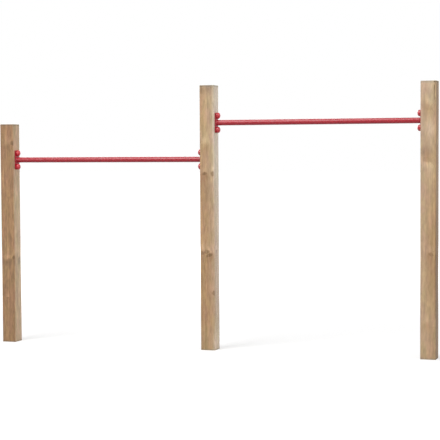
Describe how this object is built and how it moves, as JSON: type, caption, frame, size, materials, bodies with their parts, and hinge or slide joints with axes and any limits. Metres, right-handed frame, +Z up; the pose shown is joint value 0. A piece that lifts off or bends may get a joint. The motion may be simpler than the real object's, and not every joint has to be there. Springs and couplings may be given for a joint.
{
  "type": "horizontal bar climbing frame",
  "caption": "Outdoor horizontal bar climbing frame: square timber posts in a row carry red steel bars at stepped heights, on welded flanges held by capped coach screws.",
  "frame": {"origin": "centre of the middle post's foot, at the level that all three posts stand on", "axes": "+X along the bars from the low bar to the high bar, -Y towards the pictured front, +Z up"},
  "size_m": [2.77, 0.09, 1.6],
  "materials": {
    "pine": "planed, pressure treated",
    "red_coated_steel": "satin powder coat",
    "red_plastic": "moulded, semi-gloss",
    "zinc_plated_steel": "bright zinc plate"
  },
  "bodies": {
    "root": {"left_post": "pine", "middle_post": "pine", "right_post": "pine", "low_bar_tube": "red_coated_steel", "low_bar_left_flange": "red_coated_steel", "low_bar_left_weld": "red_coated_steel", "low_bar_left_top_screw": "zinc_plated_steel", "low_bar_left_top_washer": "zinc_plated_steel", "low_bar_left_top_cap_base": "red_plastic", "low_bar_left_top_cap_lid": "red_plastic", "low_bar_left_bottom_screw": "zinc_plated_steel", "low_bar_left_bottom_washer": "zinc_plated_steel", "low_bar_left_bottom_cap_base": "red_plastic", "low_bar_left_bottom_cap_lid": "red_plastic", "low_bar_right_flange": "red_coated_steel", "low_bar_right_weld": "red_coated_steel", "low_bar_right_top_screw": "zinc_plated_steel", "low_bar_right_top_washer": "zinc_plated_steel", "low_bar_right_top_cap_base": "red_plastic", "low_bar_right_top_cap_lid": "red_plastic", "low_bar_right_bottom_screw": "zinc_plated_steel", "low_bar_right_bottom_washer": "zinc_plated_steel", "low_bar_right_bottom_cap_base": "red_plastic", "low_bar_right_bottom_cap_lid": "red_plastic", "high_bar_tube": "red_coated_steel", "high_bar_left_flange": "red_coated_steel", "high_bar_left_weld": "red_coated_steel", "high_bar_left_top_screw": "zinc_plated_steel", "high_bar_left_top_washer": "zinc_plated_steel", "high_bar_left_top_cap_base": "red_plastic", "high_bar_left_top_cap_lid": "red_plastic", "high_bar_left_bottom_screw": "zinc_plated_steel", "high_bar_left_bottom_washer": "zinc_plated_steel", "high_bar_left_bottom_cap_base": "red_plastic", "high_bar_left_bottom_cap_lid": "red_plastic", "high_bar_right_flange": "red_coated_steel", "high_bar_right_weld": "red_coated_steel", "high_bar_right_top_screw": "zinc_plated_steel", "high_bar_right_top_washer": "zinc_plated_steel", "high_bar_right_top_cap_base": "red_plastic", "high_bar_right_top_cap_lid": "red_plastic", "high_bar_right_bottom_screw": "zinc_plated_steel", "high_bar_right_bottom_washer": "zinc_plated_steel", "high_bar_right_bottom_cap_base": "red_plastic", "high_bar_right_bottom_cap_lid": "red_plastic"}
  },
  "joints": []
}
